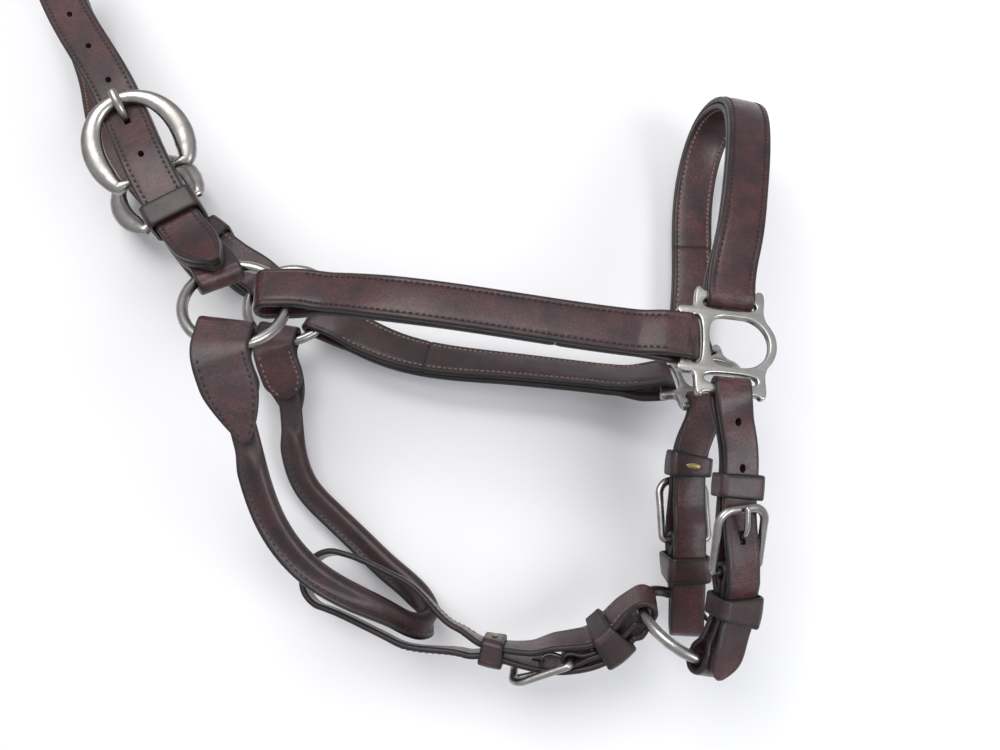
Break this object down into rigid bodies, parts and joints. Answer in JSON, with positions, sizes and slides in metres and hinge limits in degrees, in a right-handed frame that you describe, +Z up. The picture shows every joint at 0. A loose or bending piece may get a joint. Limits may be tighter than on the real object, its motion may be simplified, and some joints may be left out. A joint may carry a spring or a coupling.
{
  "type": "leather headcollar",
  "caption": "Leather headcollar lying on its side: stitched cheek, nose and crown straps, cast squares, rings, a rolled throat strap, and buckled chin straps.",
  "frame": {"origin": "middle of the bounding box, at its bottom, on the surface the headcollar lies on", "axes": "+X from the crown end towards the nose, +Y across the straps' loops, +Z up from the far side to the near side"},
  "size_m": [0.48, 0.4832, 0.1223],
  "materials": {
    "havana_leather": "satin, oiled, worn darker at the edges",
    "havana_leather_dark": "matt, dark flesh side and edges",
    "satin_nickel": "satin nickel plate, softly worn",
    "aged_brass": "dull brass"
  },
  "bodies": {
    "headcollar": {"near_cheek_strap": "havana_leather", "far_cheek_strap": "havana_leather", "near_crown_chape": "havana_leather", "far_crown_chape": "havana_leather", "near_throat_tab": "havana_leather", "far_throat_tab": "havana_leather", "near_square": "satin_nickel", "far_square": "satin_nickel", "nose_strap": "havana_leather", "crown_strap_outer": "havana_leather", "crown_strap_lining": "havana_leather_dark", "throat_strap": "havana_leather_dark", "near_chin_strap": "havana_leather", "far_chin_strap": "havana_leather", "connector_strap": "havana_leather"},
    "near_ring": {"near_ring": "satin_nickel"},
    "far_ring": {"far_ring": "satin_nickel"},
    "chin_ring": {"chin_ring": "satin_nickel"},
    "near_crown_buckle_frame": {"near_crown_buckle_frame": "satin_nickel"},
    "near_crown_buckle_tongue": {"near_crown_buckle_tongue": "satin_nickel"},
    "far_crown_buckle_frame": {"far_crown_buckle_frame": "satin_nickel"},
    "far_crown_buckle_tongue": {"far_crown_buckle_tongue": "satin_nickel"},
    "near_chin_buckle_frame": {"near_chin_buckle_frame": "satin_nickel"},
    "near_chin_buckle_tongue": {"near_chin_buckle_tongue": "satin_nickel"},
    "far_chin_buckle_frame": {"far_chin_buckle_frame": "satin_nickel"},
    "far_chin_buckle_tongue": {"far_chin_buckle_tongue": "satin_nickel"},
    "connector_buckle_frame": {"connector_buckle_frame": "satin_nickel"},
    "connector_buckle_tongue": {"connector_buckle_tongue": "satin_nickel"},
    "near_crown_keeper": {"near_crown_keeper": "havana_leather_dark"},
    "far_crown_keeper": {"far_crown_keeper": "havana_leather_dark"},
    "near_chin_upper_keeper": {"near_chin_upper_keeper": "havana_leather_dark", "near_chin_keeper_staple": "aged_brass"},
    "near_chin_lower_keeper": {"near_chin_lower_keeper": "havana_leather_dark"},
    "far_chin_upper_keeper": {"far_chin_upper_keeper": "havana_leather_dark", "far_chin_keeper_staple": "aged_brass"},
    "far_chin_lower_keeper": {"far_chin_lower_keeper": "havana_leather_dark"},
    "connector_upper_keeper": {"connector_upper_keeper": "havana_leather_dark", "connector_keeper_staple": "aged_brass"},
    "connector_lower_keeper": {"connector_lower_keeper": "havana_leather_dark"}
  },
  "joints": [
    {"name": "near_ring_turn", "type": "hinge", "parent": "headcollar", "child": "near_ring", "pos_m": [-0.0622, -0.04476, 0.10342], "axis": [0.0999, 0.3296, 0.9388], "continuous": true},
    {"name": "far_ring_turn", "type": "hinge", "parent": "headcollar", "child": "far_ring", "pos_m": [-0.0542, -0.01525, 0.02042], "axis": [0, 0.2212, 0.9752], "continuous": true},
    {"name": "chin_ring_turn", "type": "hinge", "parent": "headcollar", "child": "chin_ring", "pos_m": [0.1798, -0.21025, 0.05142], "axis": [0.4221, 0.7336, 0.5326], "continuous": true},
    {"name": "near_crown_frame_tilt", "type": "hinge", "parent": "headcollar", "child": "near_crown_buckle_frame", "pos_m": [-0.1182, 0.03775, 0.09342], "axis": [0.8899, 0.4554, -0.0273], "range_deg": [0, 2]},
    {"name": "near_crown_tongue_lift", "type": "hinge", "parent": "near_crown_buckle_frame", "child": "near_crown_buckle_tongue", "pos_m": [-0.1182, 0.03775, 0.09342], "axis": [0.8899, 0.4554, -0.0273], "range_deg": [0, 2]},
    {"name": "far_crown_frame_tilt", "type": "hinge", "parent": "headcollar", "child": "far_crown_buckle_frame", "pos_m": [-0.1342, 0.04825, 0.02442], "axis": [-0.7449, -0.666, 0.04], "range_deg": [0, 2]},
    {"name": "far_crown_tongue_lift", "type": "hinge", "parent": "far_crown_buckle_frame", "child": "far_crown_buckle_tongue", "pos_m": [-0.1342, 0.04825, 0.02442], "axis": [-0.7449, -0.666, 0.04], "range_deg": [0, 2]},
    {"name": "near_chin_frame_tilt", "type": "hinge", "parent": "headcollar", "child": "near_chin_buckle_frame", "pos_m": [0.20029, -0.18198, 0.08449], "axis": [0.9424, 0.1389, -0.3044], "range_deg": [0, 3]},
    {"name": "near_chin_tongue_lift", "type": "hinge", "parent": "near_chin_buckle_frame", "child": "near_chin_buckle_tongue", "pos_m": [0.20029, -0.18198, 0.08449], "axis": [0.9424, 0.1389, -0.3044], "range_deg": [0, 3]},
    {"name": "far_chin_frame_tilt", "type": "hinge", "parent": "headcollar", "child": "far_chin_buckle_frame", "pos_m": [0.18518, -0.16339, 0.03781], "axis": [-0.9861, -0.025, 0.164], "range_deg": [0, 3]},
    {"name": "far_chin_tongue_lift", "type": "hinge", "parent": "far_chin_buckle_frame", "child": "far_chin_buckle_tongue", "pos_m": [0.18518, -0.16339, 0.03781], "axis": [-0.9861, -0.025, 0.164], "range_deg": [0, 3]},
    {"name": "connector_frame_tilt", "type": "hinge", "parent": "headcollar", "child": "connector_buckle_frame", "pos_m": [0.11759, -0.22438, 0.04486], "axis": [-0.0847, -0.4653, 0.8811], "range_deg": [0, 3]},
    {"name": "connector_tongue_lift", "type": "hinge", "parent": "connector_buckle_frame", "child": "connector_buckle_tongue", "pos_m": [0.11759, -0.22438, 0.04486], "axis": [-0.0847, -0.4653, 0.8811], "range_deg": [0, 3]},
    {"name": "near_crown_keeper_slide", "type": "slide", "parent": "headcollar", "child": "near_crown_keeper", "axis": [-0.5078, 0.8578, 0.079], "range_m": [-0.003, 0.003]},
    {"name": "far_crown_keeper_slide", "type": "slide", "parent": "headcollar", "child": "far_crown_keeper", "axis": [-0.7947, 0.6066, 0.0209], "range_m": [-0.001, 0.003]},
    {"name": "near_chin_upper_keeper_slide", "type": "slide", "parent": "headcollar", "child": "near_chin_upper_keeper", "axis": [-0.1001, -0.98, -0.1718], "range_m": [-0.005, 0]},
    {"name": "near_chin_lower_keeper_slide", "type": "slide", "parent": "headcollar", "child": "near_chin_lower_keeper", "axis": [-0.1514, -0.9453, -0.2889], "range_m": [-0.002, 0.002]},
    {"name": "far_chin_upper_keeper_slide", "type": "slide", "parent": "headcollar", "child": "far_chin_upper_keeper", "axis": [-0.1188, -0.969, -0.2168], "range_m": [-0.003, 0]},
    {"name": "far_chin_lower_keeper_slide", "type": "slide", "parent": "headcollar", "child": "far_chin_lower_keeper", "axis": [0.0194, -0.9584, -0.2849], "range_m": [-0.003, 0.001]},
    {"name": "connector_upper_keeper_slide", "type": "slide", "parent": "headcollar", "child": "connector_upper_keeper", "axis": [0.9824, -0.1742, 0.0673], "range_m": [-0.0012, 0]},
    {"name": "connector_lower_keeper_slide", "type": "slide", "parent": "headcollar", "child": "connector_lower_keeper", "axis": [0.7559, 0.6281, 0.1848], "range_m": [-0.002, 0.003]}
  ]
}
